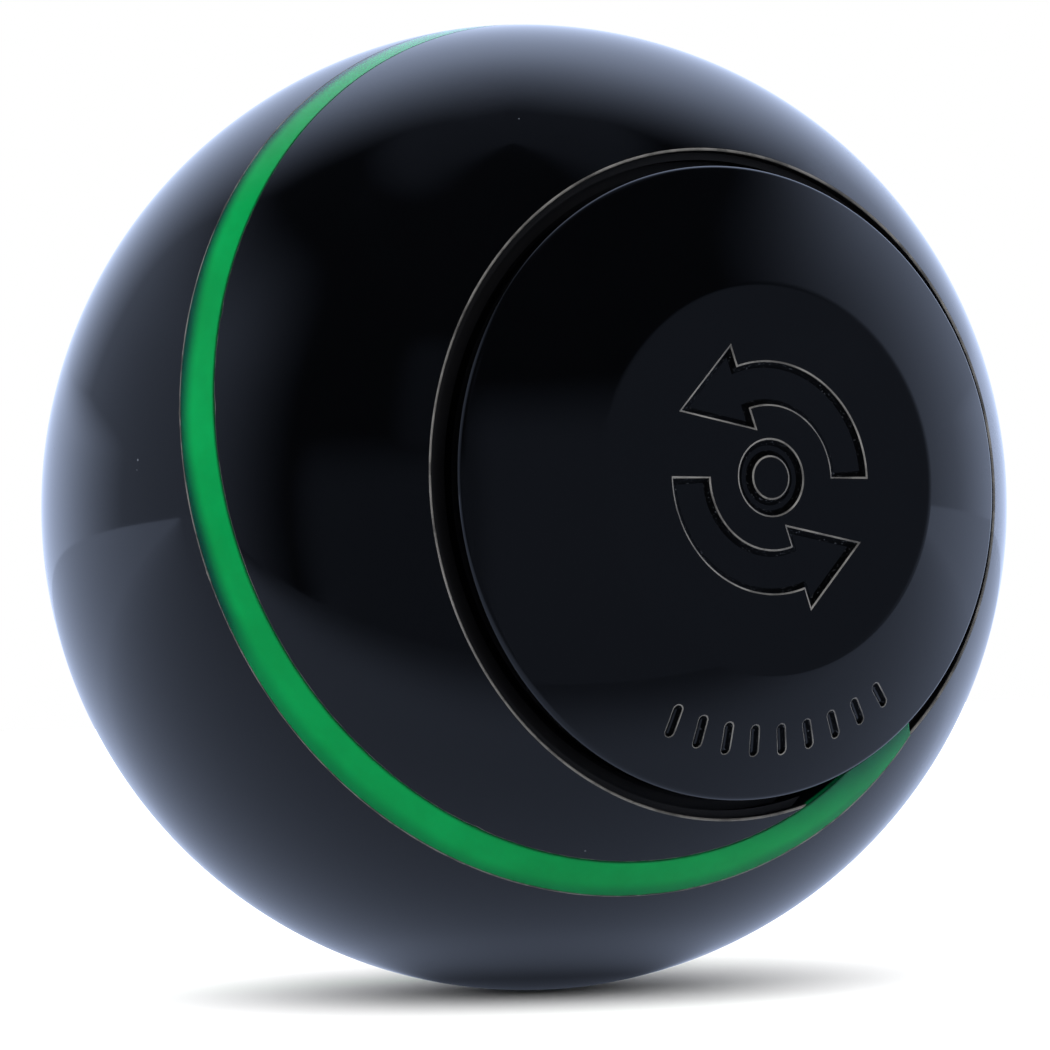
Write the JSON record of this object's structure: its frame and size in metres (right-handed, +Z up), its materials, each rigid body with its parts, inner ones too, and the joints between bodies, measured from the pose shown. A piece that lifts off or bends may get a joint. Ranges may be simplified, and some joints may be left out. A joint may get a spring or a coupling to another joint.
{
  "type": "lawn bowl",
  "caption": "Glossy black ball with an inlaid green spiral stripe and a flat-centred round grip disc on each side that turns freely on an axle with ball bearings.",
  "frame": {"origin": "centre of the ball", "axes": "+Y along the spin axis, away from the front grip disc, which faces -Y; +Z up; +X to the right as seen from the front disc"},
  "size_m": [0.12, 0.1108, 0.12],
  "materials": {
    "black_gloss": "polished black, mirror gloss",
    "disc_gloss": "moulded black, mirror gloss",
    "green_inlay": "slightly clear green, polished flush",
    "alloy": "turned",
    "bearing_steel": "ground and polished",
    "steel": "ground",
    "dark_steel": "black oxide",
    "brass": "turned",
    "felt": "pressed felt"
  },
  "bodies": {
    "ball": {"ball_body": "black_gloss", "spiral_stripe": "green_inlay", "threaded_inserts": "brass", "housing_screws": "dark_steel", "front_bearing_housing": "alloy", "rear_bearing_housing": "alloy", "preload_washer": "steel", "front_outer_race": "bearing_steel", "rear_outer_race": "bearing_steel", "front_bearing_shields": "steel", "rear_bearing_shields": "steel", "front_circlip": "dark_steel", "rear_circlip": "dark_steel", "front_dust_ring": "felt", "rear_dust_ring": "felt"},
    "grip": {"axle": "steel", "inner_spacer": "steel", "front_inner_race": "bearing_steel", "rear_inner_race": "bearing_steel", "front_shim": "steel", "rear_shim": "steel", "front_disc_carrier": "alloy", "rear_disc_carrier": "alloy", "axle_screw_washers": "steel", "axle_screws": "dark_steel", "front_grip_disc": "disc_gloss", "rear_grip_disc": "disc_gloss"},
    "front_cage": {"front_bearing_cage": "brass", "front_bearing_balls": "bearing_steel"},
    "rear_cage": {"rear_bearing_cage": "brass", "rear_bearing_balls": "bearing_steel"}
  },
  "joints": [
    {"name": "grip_spin", "type": "hinge", "parent": "ball", "child": "grip", "pos_m": [0, 0, 0], "axis": [0, -1, 0], "continuous": true},
    {"name": "front_cage_spin", "type": "hinge", "parent": "ball", "child": "front_cage", "pos_m": [0, -0.035, 0], "axis": [0, -1, 0], "continuous": true},
    {"name": "rear_cage_spin", "type": "hinge", "parent": "ball", "child": "rear_cage", "pos_m": [0, 0.035, 0], "axis": [0, -1, 0], "continuous": true}
  ],
  "couplings": [
    {"joint": "front_cage_spin", "follows": "grip_spin", "ratio": 0.3677},
    {"joint": "rear_cage_spin", "follows": "grip_spin", "ratio": 0.3677}
  ]
}
